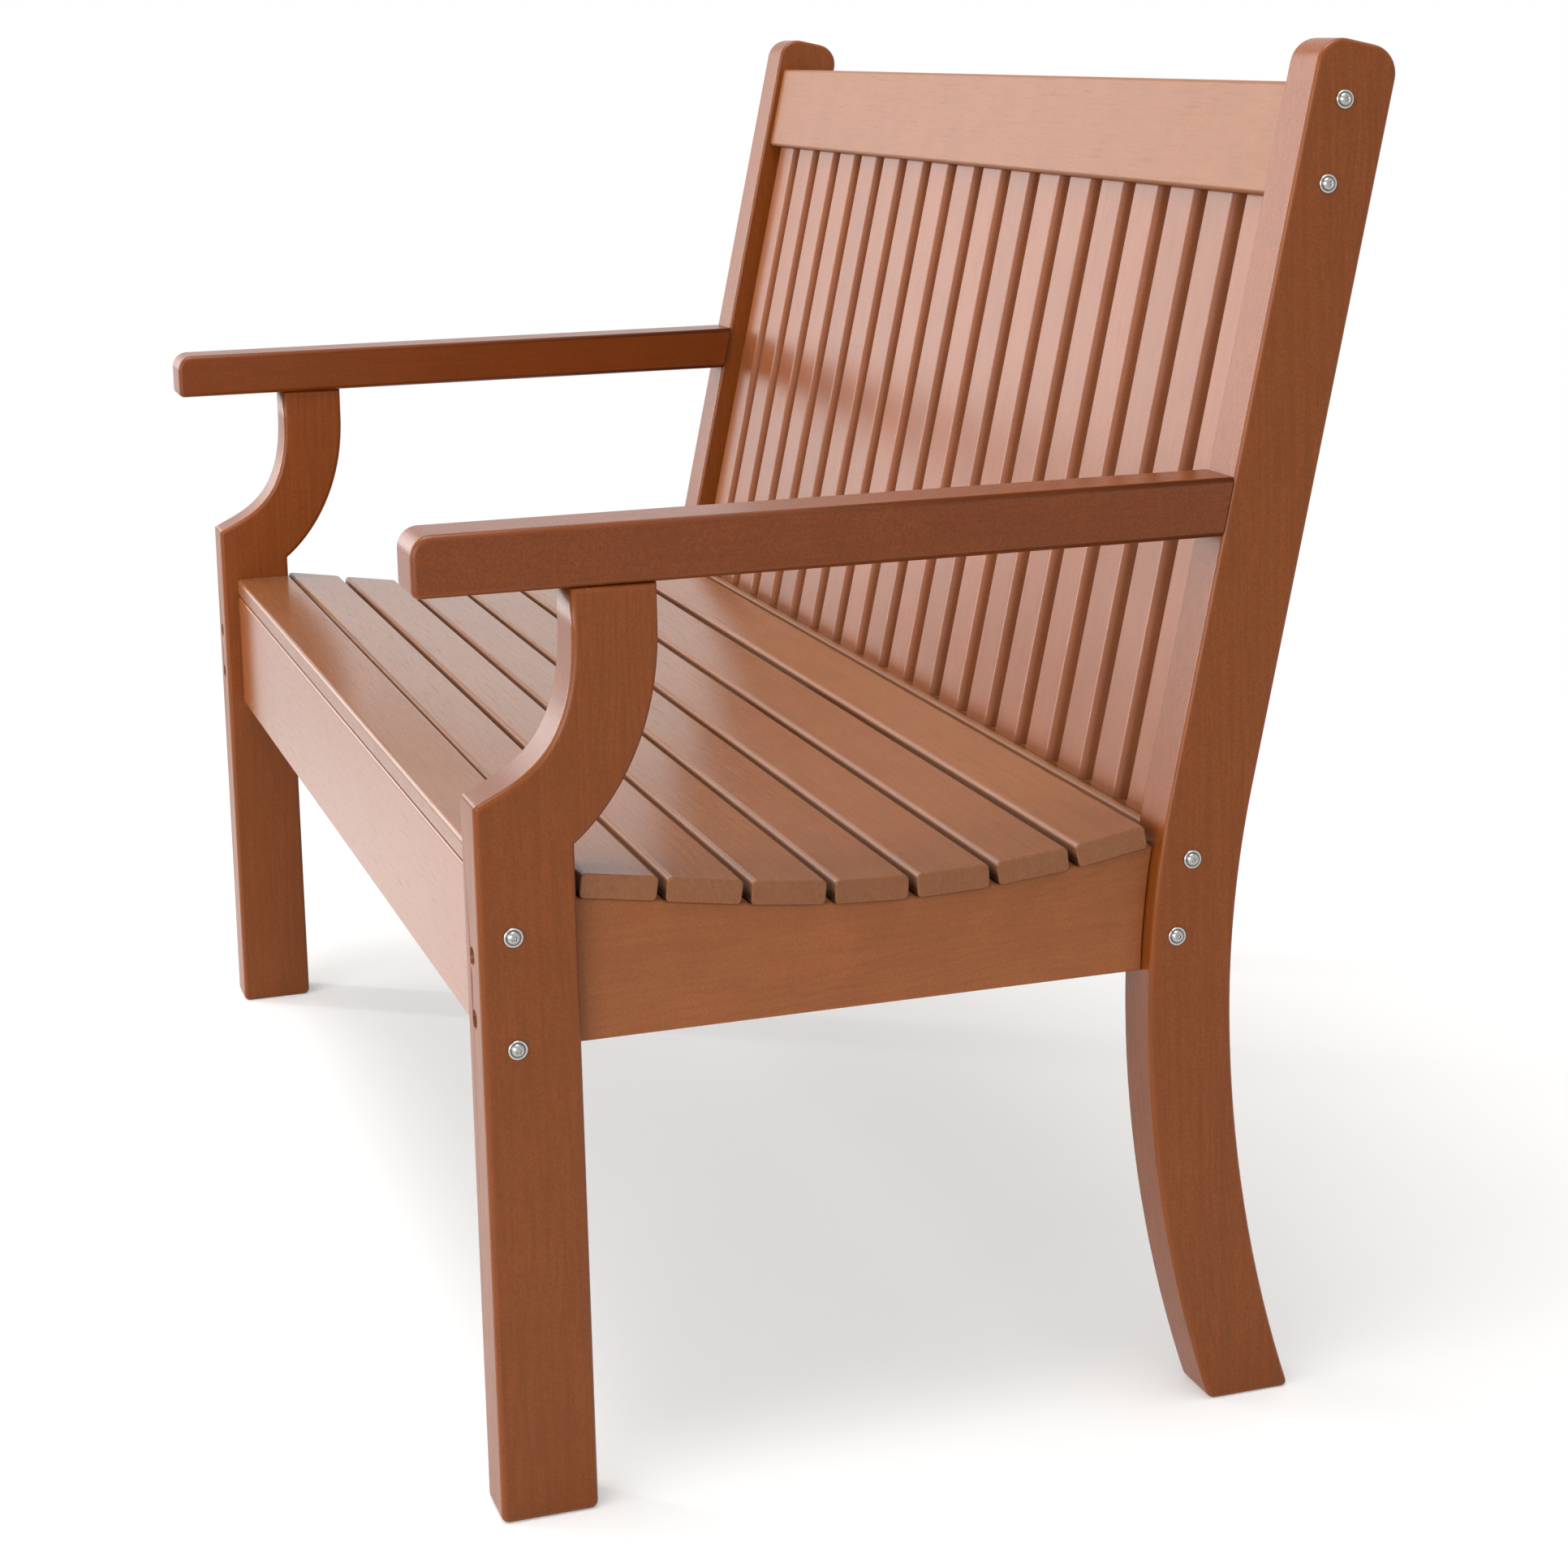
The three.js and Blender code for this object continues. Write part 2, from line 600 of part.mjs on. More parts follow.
function addBack(bench) {
  const back = new THREE.Group();
  back.position.set(0, rakeStartY, rakeStartZ);
  back.rotation.x = -backRake;
  const bottomRail = piece('back_bottom_rail', backRailGeometry(bottomRailBoltRise, true));
  const topRail = piece('back_top_rail', backRailGeometry(topRailBoltRise, false));
  bottomRail.position.z = bottomRailFoot;
  topRail.position.z = topRailFoot;
  back.add(bottomRail, topRail);
  for (let index = 0; index < backPlankCount; index += 1) {
    const plank = piece(`back_plank_${String(index + 1).padStart(2, '0')}`, backPlankGeometry());
    const y = backRailSetback + backPlankSetback + plankThickness / 2;
    plank.position.set(backPlankX(index), y, (bottomRailTop + topRailFoot) / 2);
    back.add(plank);
  }
  bench.add(back);
}

function addBolts(bench) {
  for (const [side, sign] of sides) {
    const inwards = [-sign, 0, 0];
    const outerFace = (sign * benchWidth) / 2;
    const x = sign * legCentre;
    const forwards = (name, y, z) => bolt(name, [x, y, z], [0, -1, 0], longBoltLength, true);
    levels.forEach((level, index) => {
      const across = (rail, { y, z }) =>
        bolt(`${rail}_bolt_${side}_${level}`, [outerFace, y, z], inwards, crossBoltLength, false);
      const backwards = (name, y, z) => bolt(name, [x, y, z], [0, 1, 0], longBoltLength, true);
      const frontZ = sideRailFrontBoltHeights[index];
      const rearZ = sideRailRearBoltHeights[index];
      bench.add(
        across('front_rail', frontRailBolts[index]),
        across('bottom_rail', bottomRailBolts[index]),
        across('top_rail', topRailBolts[index]),
        backwards(`side_rail_front_bolt_${side}_${level}`, recessDepth, frontZ),
        forwards(`side_rail_rear_bolt_${side}_${level}`, rearRecessFloor(rearZ), rearZ),
      );
    });
    bench.add(forwards(`arm_bolt_${side}`, rearRecessFloor(armBoltHeight), armBoltHeight));
  }
}

const bench = new THREE.Group();
addLegsAndArms(bench);
addSeat(bench);
addBack(bench);
addBolts(bench);

const box = new THREE.Box3().setFromObject(bench);
bench.position.y = -(box.min.y + box.max.y) / 2;

export default bench;
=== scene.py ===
# Two-seat garden bench: moulded legs and arms, extruded planks, stainless bolts.
# Metres, except in the legs' outlines. +X runs along the seat, -Y is where a sitter faces, +Z is up.
import bmesh
import bpy
import math
import random
from mathutils import Matrix, Vector
from mathutils.geometry import interpolate_bezier


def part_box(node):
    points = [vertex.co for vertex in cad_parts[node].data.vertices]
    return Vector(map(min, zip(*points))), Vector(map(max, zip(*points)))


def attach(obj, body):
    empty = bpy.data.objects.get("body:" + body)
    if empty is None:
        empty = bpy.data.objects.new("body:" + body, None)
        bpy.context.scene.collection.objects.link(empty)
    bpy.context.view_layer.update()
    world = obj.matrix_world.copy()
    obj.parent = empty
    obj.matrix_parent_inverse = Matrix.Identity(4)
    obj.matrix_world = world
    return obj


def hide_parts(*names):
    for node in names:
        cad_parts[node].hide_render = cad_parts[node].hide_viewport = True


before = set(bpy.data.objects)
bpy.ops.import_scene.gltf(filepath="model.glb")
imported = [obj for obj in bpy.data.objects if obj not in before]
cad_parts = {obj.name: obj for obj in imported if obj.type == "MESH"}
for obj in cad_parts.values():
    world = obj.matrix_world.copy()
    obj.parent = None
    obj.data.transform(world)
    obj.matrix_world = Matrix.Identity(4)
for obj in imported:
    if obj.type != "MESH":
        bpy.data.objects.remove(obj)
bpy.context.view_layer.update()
mm = 0.001
sameCorner = 0.05 * mm    # points nearer than this are one corner
sameFace = 0.1 * mm       # points no further than this from a face lie in it
squareOn = 0.99           # cosine above which a face looks along an axis
tones = random.Random(12)


def linearColour(code, alpha=1.0):
    channels = [int(code[i:i + 2], 16) / 255 for i in (1, 3, 5)]
    return [c / 12.92 if c <= 0.04045 else ((c + 0.055) / 1.055) ** 2.4 for c in channels] + [alpha]


def addNode(tree, kind, inputs=None, **settings):
    # adds a node, sets its properties, and fills or links its inputs
    node = tree.nodes.new(kind)
    for name, value in settings.items():
        setattr(node, name, value)
    for key, value in (inputs or {}).items():
        socket = node.inputs[key]
        if isinstance(value, bpy.types.NodeSocket):
            tree.links.new(value, socket)
        else:
            socket.default_value = value
    return node


def emptyMaterial(name):
    material = bpy.data.materials.new(name)
    material.use_nodes = True
    material.node_tree.nodes.clear()
    return material, material.node_tree


def sideFaces(bm):
    return [face for face in bm.faces if abs(face.normal.x) > squareOn]


def sideEdges(bm):
    return {edge for face in sideFaces(bm) for edge in face.edges}


def roundEdges(bm, edges, radius, segments, band=None):
    # rounds edges; band is a vertex layer that remembers the middle of the rounding
    made = bmesh.ops.bevel(bm, geom=list(edges), offset=radius, segments=segments, profile=0.5,
                           affect="EDGES", offset_type="OFFSET", clamp_overlap=True, material=-1)
    if band:
        rounded = set(made["faces"])
        for vert in made["verts"]:
            if vert.is_valid and all(face in rounded for face in vert.link_faces):
                vert[band] = 1.0
    return made


def placeIn(bm, centre, along, across, outward):
    # turns a piece drawn along X, Y and Z onto three given directions
    turn = Matrix((along, across, outward)).transposed().to_4x4()
    bmesh.ops.transform(bm, matrix=Matrix.Translation(centre) @ turn, verts=bm.verts)


def measureNode(node, grain):
    # centre, directions and sizes of a plank-like node; grain is "x" or "up"
    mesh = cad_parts[node].data
    outward = max(mesh.polygons, key=lambda face: face.area).normal.copy()
    if outward.y > 0.5 or outward.z < -0.5:
        outward.negate()
    if grain == "x":
        along = Vector((1, 0, 0))
        across = outward.cross(along)
    else:
        along = outward.cross(Vector((1, 0, 0)))
        across = outward.cross(along)
    centre, sizes = Vector(), []
    for axis in (along, across, outward):
        reach = [vert.co.dot(axis) for vert in mesh.vertices]
        centre += axis * (min(reach) + max(reach)) / 2
        sizes.append(max(reach) - min(reach))
    return centre, (along, across, outward), sizes


def cutAway(piece, cutter):
    # takes the cutter's shape out of the piece for good
    tool = bpy.data.meshes.new("cutter")
    cutter.to_mesh(tool)
    cutter.free()
    toolObject = bpy.data.objects.new("cutter", tool)
    bpy.context.collection.objects.link(toolObject)
    cut = piece.modifiers.new("cut", "BOOLEAN")
    cut.operation = "DIFFERENCE"
    cut.solver = "EXACT"
    cut.object = toolObject
    shown = piece.evaluated_get(bpy.context.evaluated_depsgraph_get())
    carved = bpy.data.meshes.new_from_object(shown)
    piece.modifiers.clear()
    piece.data = carved
    bpy.data.objects.remove(toolObject)
    # the cut leaves slivers without area along its rim
    bm = bmesh.new()
    bm.from_mesh(carved)
    bmesh.ops.remove_doubles(bm, verts=bm.verts, dist=0.003 * mm)
    bmesh.ops.dissolve_degenerate(bm, edges=bm.edges, dist=0.003 * mm)
    bmesh.ops.triangulate(bm, faces=[face for face in bm.faces if len(face.verts) > 4], ngon_method="BEAUTY")
    bmesh.ops.dissolve_degenerate(bm, edges=bm.edges, dist=0.003 * mm)
    bm.to_mesh(carved)
    bm.free()


def addPost(bm, start, end, radius, segments=32):
    # a round rod between two points, for cutting holes
    reach = Vector(end) - Vector(start)
    turn = reach.to_track_quat("Z", "Y").to_matrix().to_4x4()
    place = Matrix.Translation((Vector(start) + Vector(end)) / 2) @ turn
    bmesh.ops.create_cone(bm, cap_ends=True, segments=segments, radius1=radius, radius2=radius,
                          depth=reach.length, matrix=place)


def makeObject(bm, name, material):
    tone = bm.verts.layers.float.new("tone")
    shade = tones.random()
    for vert in bm.verts:
        vert[tone] = shade
    mesh = bpy.data.meshes.new(name)
    bmesh.ops.recalc_face_normals(bm, faces=bm.faces)
    bm.to_mesh(mesh)
    bm.free()
    piece = bpy.data.objects.new(name, mesh)
    piece.data.materials.append(material)
    bpy.context.collection.objects.link(piece)
    return piece


def finishPiece(piece, node):
    # smooth shading with flat faces kept flat, then its place in the frame
    for face in piece.data.polygons:
        face.use_smooth = True
    shading = piece.modifiers.new("flatFaces", "WEIGHTED_NORMAL")
    shading.mode = "FACE_AREA"
    shading.weight = 50
    shading.keep_sharp = True
    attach(piece, "root")
    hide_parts(node)
    return piece


# Polymer timber in red-brown with a hard satin skin. The moulded legs and arms take a fine stipple
# from the mould; the extruded planks have a wood figure rolled into them.
timber = {
    "ior": 1.36,
    "gapRoughness": 0.3,     # added on the sides of the planks, which nothing polishes
    "ringSpacing": 5.5 * mm,
    "ringWander": 5.0,       # how many rings the figure drifts across
    "ringFray": 0.45,        # how ragged each ring's edge is, in rings
    "poreLength": 34 * mm,
    "poreWidth": 1.2 * mm,
    "streakLength": 85 * mm,
    "streakWidth": 3.2 * mm,
    "stippleSize": 1.4 * mm,
    "mottleSize": 38 * mm,
    "skinDepth": 0.06 * mm,
    # waves per metre along and across the grain
    "driftScale": (2.2, 11.0, 11.0),      # 455 by 91 mm
    "tornScale": (45.0, 420.0, 420.0),    # 22 by 2.4 mm
    "patchScale": (5.0, 16.0, 16.0),      # 200 by 63 mm
    "shade": 0.66,           # colour in pores and lines, against the skin
    "light": 1.25,           # colour where the skin is clouded, and on the rounded edges as wear with a painted highlight
    "batchSpread": 0.08,     # how far one piece differs from the next
    # colour of the painted shade in the plank gaps and under the seat planks
    "paintedShadeColour": "#2c150a",
}


def polymerTimber(name, colour, turn, figure, stipple, relief, roughness,
                  edgeRoughness=0.0, paintedShadeStrength=0.0):
    # colour: skin; turn: lays the grain along the pattern's X; figure and stipple: how strong each shows
    # relief: how deep the figure is pressed in; edgeRoughness: added on rounded edges, below 0 where hands
    # polish them; paintedShadeStrength: how dark the painted shade in the gaps and under the seat planks goes
    material, tree = emptyMaterial(name)
    place = addNode(tree, "ShaderNodeTexCoord")
    laid = addNode(tree, "ShaderNodeMapping", {"Vector": place.outputs["Object"], "Rotation": turn},
                   vector_type="POINT")
    split = addNode(tree, "ShaderNodeSeparateXYZ", {0: laid.outputs[0]})

    # wood figure: bands across the grain, pushed about by slow noise
    slow = addNode(tree, "ShaderNodeMapping", {"Vector": laid.outputs[0], "Scale": timber["driftScale"]})
    drift = addNode(tree, "ShaderNodeTexNoise",
                    {"Vector": slow.outputs[0], "Scale": 1.0, "Detail": 2.5, "Roughness": 0.45})
    count = addNode(tree, "ShaderNodeMath", {0: split.outputs[1], 1: 1 / timber["ringSpacing"]},
                    operation="MULTIPLY")
    wander = addNode(tree, "ShaderNodeMath",
                     {0: drift.outputs[0], 1: timber["ringWander"] * 4, 2: count.outputs[0]},
                     operation="MULTIPLY_ADD")
    torn = addNode(tree, "ShaderNodeMapping", {"Vector": laid.outputs[0], "Scale": timber["tornScale"]})
    fray = addNode(tree, "ShaderNodeTexNoise",
                   {"Vector": torn.outputs[0], "Scale": 1.0, "Detail": 2.0, "Roughness": 0.6})
    frayed = addNode(tree, "ShaderNodeMath",
                     {0: fray.outputs[0], 1: timber["ringFray"], 2: wander.outputs[0]},
                     operation="MULTIPLY_ADD")
    turns = addNode(tree, "ShaderNodeMath", {0: frayed.outputs[0], 1: math.tau}, operation="MULTIPLY")
    wave = addNode(tree, "ShaderNodeMath", {0: turns.outputs[0]}, operation="SINE")
    line = addNode(tree, "ShaderNodeMapRange",
                   {"Value": wave.outputs[0], "From Min": 0.55, "From Max": 1.0,
                    "To Min": 0.0, "To Max": 1.0},
                   interpolation_type="SMOOTHSTEP")

    # the rolled figure comes and goes along a plank
    patchy = addNode(tree, "ShaderNodeMapping", {"Vector": laid.outputs[0], "Scale": timber["patchScale"]})
    patch = addNode(tree, "ShaderNodeTexNoise",
                    {"Vector": patchy.outputs[0], "Scale": 1.0, "Detail": 1.0, "Roughness": 0.5})
    shown = addNode(tree, "ShaderNodeMapRange",
                    {"Value": patch.outputs[0], "From Min": 0.42, "From Max": 0.62,
                     "To Min": 0.15, "To Max": 1.0},
                    interpolation_type="SMOOTHSTEP")
    lineShown = addNode(tree, "ShaderNodeMath",
                        {0: line.outputs[0], 1: shown.outputs[0]}, operation="MULTIPLY")

    # pores: short scratches along the grain
    poreScale = (1 / timber["poreLength"], 1 / timber["poreWidth"], 1 / timber["poreWidth"])
    fine = addNode(tree, "ShaderNodeMapping", {"Vector": laid.outputs[0], "Scale": poreScale})
    poreNoise = addNode(tree, "ShaderNodeTexNoise",
                        {"Vector": fine.outputs[0], "Scale": 1.0, "Detail": 3.0, "Roughness": 0.6})
    pore = addNode(tree, "ShaderNodeMapRange",
                   {"Value": poreNoise.outputs[0], "From Min": 0.52, "From Max": 0.76,
                    "To Min": 0.0, "To Max": 1.0},
                   interpolation_type="SMOOTHSTEP")

    # streaks: long, thin and low in contrast
    streakScale = (1 / timber["streakLength"], 1 / timber["streakWidth"], 1 / timber["streakWidth"])
    drawn = addNode(tree, "ShaderNodeMapping", {"Vector": laid.outputs[0], "Scale": streakScale})
    streak = addNode(tree, "ShaderNodeTexNoise",
                     {"Vector": drawn.outputs[0], "Scale": 1.0, "Detail": 3.0, "Roughness": 0.55,
                      "Distortion": 0.6})

    # stipple of the mould and slow clouding of the skin
    grit = addNode(tree, "ShaderNodeTexNoise",
                   {"Vector": place.outputs["Object"], "Scale": 1 / timber["stippleSize"],
                    "Detail": 2.0, "Roughness": 0.6})
    cloud = addNode(tree, "ShaderNodeTexNoise",
                    {"Vector": place.outputs["Object"], "Scale": 1 / timber["mottleSize"],
                     "Detail": 3.0, "Roughness": 0.55})

    # colour: clouded skin, darker in pores and lines, paler on the rounded edges as wear with a painted
    # highlight, painted shade deep in the plank gaps and under the seat planks
    skin = linearColour(colour)
    shade = [c * timber["shade"] for c in skin[:3]] + [1.0]
    light = [min(1.0, c * timber["light"] + 0.004) for c in skin[:3]] + [1.0]
    darkBatch = [c * (1 - timber["batchSpread"]) for c in skin[:3]] + [1.0]
    paleBatch = [c * (1 + timber["batchSpread"]) for c in skin[:3]] + [1.0]
    batch = addNode(tree, "ShaderNodeAttribute", attribute_name="tone")
    tinted = addNode(tree, "ShaderNodeMix",
                     {"Factor": batch.outputs["Fac"], "A": darkBatch, "B": paleBatch}, data_type="RGBA")
    cloudAmount = addNode(tree, "ShaderNodeMapRange",
                          {"Value": cloud.outputs[0], "From Min": 0.35, "From Max": 0.65,
                           "To Min": 0.0, "To Max": 0.34})
    clouded = addNode(tree, "ShaderNodeMix",
                      {"Factor": cloudAmount.outputs[0], "A": tinted.outputs[2], "B": light},
                      data_type="RGBA")
    gritAmount = addNode(tree, "ShaderNodeMapRange",
                         {"Value": grit.outputs[0], "From Min": 0.4, "From Max": 0.62,
                          "To Min": 0.0, "To Max": 0.2 + 0.45 * stipple})
    gritty = addNode(tree, "ShaderNodeMix",
                     {"Factor": gritAmount.outputs[0], "A": clouded.outputs[2], "B": shade}, data_type="RGBA")
    streakAmount = addNode(tree, "ShaderNodeMapRange",
                           {"Value": streak.outputs[0], "From Min": 0.38, "From Max": 0.66,
                            "To Min": 0.0, "To Max": 0.55 * figure})
    streaked = addNode(tree, "ShaderNodeMix",
                       {"Factor": streakAmount.outputs[0], "A": gritty.outputs[2], "B": shade},
                       data_type="RGBA")
    lineAmount = addNode(tree, "ShaderNodeMath",
                         {0: lineShown.outputs[0], 1: 0.5 * figure}, operation="MULTIPLY")
    lined = addNode(tree, "ShaderNodeMix",
                    {"Factor": lineAmount.outputs[0], "A": streaked.outputs[2], "B": shade}, data_type="RGBA")
    poreAmount = addNode(tree, "ShaderNodeMath", {0: pore.outputs[0], 1: 0.45 * figure}, operation="MULTIPLY")
    pored = addNode(tree, "ShaderNodeMix",
                    {"Factor": poreAmount.outputs[0], "A": lined.outputs[2], "B": shade}, data_type="RGBA")
    edge = addNode(tree, "ShaderNodeAttribute", attribute_name="edgeBand")
    # rounded edges go paler in patches: wear, with a painted highlight along the rounding
    wearHighlightNoise = addNode(tree, "ShaderNodeMapRange",
                        {"Value": grit.outputs[0], "From Min": 0.45, "From Max": 0.6,
                         "To Min": 0.0, "To Max": 0.45})
    wearAndPaintedLight = addNode(tree, "ShaderNodeMath",
                   {0: edge.outputs["Fac"], 1: wearHighlightNoise.outputs[0]}, operation="MULTIPLY")
    wornAndHighlighted = addNode(tree, "ShaderNodeMix",
                     {"Factor": wearAndPaintedLight.outputs[0], "A": pored.outputs[2], "B": light}, data_type="RGBA")
    # painted shade: low on the sides of the plank gaps and in a line under each seat plank
    paintedShadeInput = addNode(tree, "ShaderNodeAttribute", attribute_name="paintedShadeMask")
    paintedShadeAmount = addNode(tree, "ShaderNodeMapRange",
                   {"Value": paintedShadeInput.outputs["Fac"], "From Min": 0.25, "From Max": 0.8,
                    "To Min": 0.0, "To Max": paintedShadeStrength})
    finished = addNode(tree, "ShaderNodeMix",
                       {"Factor": paintedShadeAmount.outputs[0], "A": wornAndHighlighted.outputs[2],
                        "B": linearColour(timber["paintedShadeColour"])}, data_type="RGBA")

    # gloss: satin skin, duller in the pores and on the sides of the planks in the gaps
    gapSide = addNode(tree, "ShaderNodeAttribute", attribute_name="gapSide")
    gapDull = addNode(tree, "ShaderNodeMath",
                      {0: gapSide.outputs["Fac"], 1: timber["gapRoughness"], 2: roughness},
                      operation="MULTIPLY_ADD")
    edgeDull = addNode(tree, "ShaderNodeMath",
                       {0: edge.outputs["Fac"], 1: edgeRoughness, 2: gapDull.outputs[0]},
                       operation="MULTIPLY_ADD")
    dull = addNode(tree, "ShaderNodeMath", {0: pore.outputs[0], 1: 0.12, 2: edgeDull.outputs[0]},
                   operation="MULTIPLY_ADD")
    gritDull = addNode(tree, "ShaderNodeMath",
                       {0: grit.outputs[0], 1: 0.12 * stipple, 2: dull.outputs[0]}, operation="MULTIPLY_ADD")

    # height of the skin
    lineHeight = addNode(tree, "ShaderNodeMath",
                         {0: lineShown.outputs[0], 1: -0.6 * relief}, operation="MULTIPLY")
    poreHeight = addNode(tree, "ShaderNodeMath",
                         {0: pore.outputs[0], 1: -0.5 * relief, 2: lineHeight.outputs[0]},
                         operation="MULTIPLY_ADD")
    height = addNode(tree, "ShaderNodeMath",
                     {0: grit.outputs[0], 1: 0.8 * stipple, 2: poreHeight.outputs[0]},
                     operation="MULTIPLY_ADD")
    pressed = addNode(tree, "ShaderNodeBump",
                      {"Height": height.outputs[0], "Distance": timber["skinDepth"], "Strength": 1.0})

    surface = addNode(tree, "ShaderNodeBsdfPrincipled",
                      {"Base Color": finished.outputs[2], "Roughness": gritDull.outputs[0],
                       "IOR": timber["ior"], "Normal": pressed.outputs[0]})
    addNode(tree, "ShaderNodeOutputMaterial", {"Surface": surface.outputs[0]})
    return material


# Stainless steel: turned and tumbled, rubbed bright on the rim, with a painted dark reflection on the dome
# and painted shade in the groove, under the flange and on the parts set back or hidden
bolt = {
    "flangeRadius": 6.2 * mm, "rimHeight": 1.0 * mm, "rimFlat": 0.5 * mm, "rimSlope": 0.4 * mm,
    "rimWidth": 0.9 * mm, "grooveRadius": 4.7 * mm,
    "grooveHeight": 0.7 * mm, "domeRadius": 4.4 * mm, "headHeight": 3.4 * mm,
    "capRadius": 5.0 * mm, "capHeight": 6.0 * mm, "capChamfer": 0.6 * mm, "seatGap": 0.3 * mm,
    "socket": 3.6 * mm, "socketDepth": 2.2 * mm,
    "shankRadius": 3.0 * mm, "shankTip": 1.0 * mm, "crossLength": 80 * mm, "longLength": 90 * mm,
    "steps": 40,
    "hazeScale": 700.0,      # per metre: a 1.4 mm mottle, coarser than tumbling leaves so that it shows
    "flatFace": 3e-5,        # square metres; larger faces stay flat-shaded
}


def stainlessSteel():
    material, tree = emptyMaterial("tumbledStainlessSteel")
    place = addNode(tree, "ShaderNodeTexCoord")
    haze = addNode(tree, "ShaderNodeTexNoise",
                   {"Vector": place.outputs["Object"], "Scale": bolt["hazeScale"],
                    "Detail": 3.0, "Roughness": 0.6})
    wearAndPaintedLight = addNode(tree, "ShaderNodeAttribute", attribute_name="paintedBoltShade")
    rough = addNode(tree, "ShaderNodeMapRange",
                    {"Value": haze.outputs[0], "From Min": 0.3, "From Max": 0.7,
                     "To Min": 0.16, "To Max": 0.3})
    tint = addNode(tree, "ShaderNodeMix",
                   {"Factor": haze.outputs[0], "A": linearColour("#a9a8a4"), "B": linearColour("#cfcecb")},
                   data_type="RGBA")
    # painted shade and a painted dark reflection, darkest where the profile marks them
    boltWithPaintedShade = addNode(tree, "ShaderNodeMix",
                    {"Factor": wearAndPaintedLight.outputs["Fac"], "A": tint.outputs[2], "B": linearColour("#2f2d2b")},
                    data_type="RGBA")
    relief = addNode(tree, "ShaderNodeBump",
                     {"Height": haze.outputs[0], "Distance": 0.04 * mm, "Strength": 0.4})
    surface = addNode(tree, "ShaderNodeBsdfPrincipled",
                      {"Base Color": boltWithPaintedShade.outputs[2], "Metallic": 1.0, "Roughness": rough.outputs[0],
                       "Normal": relief.outputs[0]})
    addNode(tree, "ShaderNodeOutputMaterial", {"Surface": surface.outputs[0]})
    return material


# which way the grain runs: turned so that the pattern's X lies along it
upThePlank = measureNode("back_plank_01", "up")[1][0]
rake = math.atan2(upThePlank.y, upThePlank.z)
alongX = (0.0, 0.0, 0.0)
alongY = (0.0, 0.0, -math.pi / 2)
upright = (0.0, math.pi / 2, 0.0)
rakedUp = (rake, math.pi / 2, 0.0)

plankTimber = polymerTimber("extrudedTimberSeat", "#865433", alongX, figure=0.7, stipple=0.3, relief=0.22,
                            roughness=0.21, edgeRoughness=0.22, paintedShadeStrength=0.9)
backTimber = polymerTimber("extrudedTimberBack", "#854b29", rakedUp, figure=0.4, stipple=0.35, relief=0.35,
                           roughness=0.27, edgeRoughness=-0.1, paintedShadeStrength=0.12)
railTimber = polymerTimber("extrudedTimberRails", "#884e2a", alongX, figure=0.15, stipple=0.2, relief=0.15,
                           roughness=0.16)
backRailTimber = polymerTimber("extrudedTimberBackRails", "#85502b", alongX, figure=0.18, stipple=0.25,
                               relief=0.15, roughness=0.36)
sideTimber = polymerTimber("extrudedTimberSides", "#93552d", alongY, figure=0.45, stipple=0.5, relief=0.45,
                           roughness=0.45)
legTimber = polymerTimber("mouldedTimberLegs", "#804010", upright, figure=0.8, stipple=0.8, relief=0.6,
                          roughness=0.27, edgeRoughness=-0.08)
armTimber = polymerTimber("mouldedTimberArms", "#793a10", alongY, figure=0.5, stipple=1.3, relief=0.6,
                          roughness=0.22)
steel = stainlessSteel()
print("materials ready")


plank = {"edgeRadius": 3.5 * mm, "edgeSteps": 6, "backEdgeRadius": 5.6 * mm,
         "endRadius": 1.4 * mm, "endSteps": 4,
         "paintedShadowLine": 0.4 * mm,     # height of the painted shadow line under a seat plank
         "gapStart": 1 / 3}        # how far round the edge the dull side of a gap begins, and with it the painted shade


def makePlank(node, grain, material, edgeRadius, edgeSteps):
    centre, axes, sizes = measureNode(node, grain)
    bm = bmesh.new()
    band = bm.verts.layers.float.new("edgeBand")
    side = bm.verts.layers.float.new("gapSide")
    paintedShadeMask = bm.verts.layers.float.new("paintedShadeMask")
    bmesh.ops.create_cube(bm, size=1.0)
    bmesh.ops.scale(bm, vec=sizes, verts=bm.verts)
    long = [e for e in bm.edges if abs(e.verts[0].co.x - e.verts[1].co.x) > sizes[0] / 2]
    roundEdges(bm, long, edgeRadius, edgeSteps, band)
    bm.normal_update()
    roundEdges(bm, sideEdges(bm), plank["endRadius"], plank["endSteps"])
    for vert in bm.verts:
        # full on the narrow faces in the gaps, none on the broad faces and the ends
        inset = (abs(vert.co.y) - sizes[1] / 2 + edgeRadius) / edgeRadius
        awayFromEnds = abs(vert.co.x) < (sizes[0] - plank["endRadius"]) / 2
        inGap = material in (plankTimber, backTimber) and awayFromEnds
        if node == "seat_plank_1" and vert.co.y < 0:
            inGap = False   # the front of the seat is open to light and hands
        sunk = (inset - plank["gapStart"]) / (1 - plank["gapStart"])
        vert[side] = max(0.0, min(1.0, sunk)) if inGap else 0.0
        # painted shade on the lower half of the narrow faces in the gaps
        vert[paintedShadeMask] = vert[side] if vert.co.z < 0 else 0.0
        # painted shadow in a line along the underside of each seat plank
        if material == plankTimber and vert.co.z < plank["paintedShadowLine"] - sizes[2] / 2:
            vert[paintedShadeMask] = 1.0
    placeIn(bm, centre, *axes)
    return makeObject(bm, node + "_look", material)


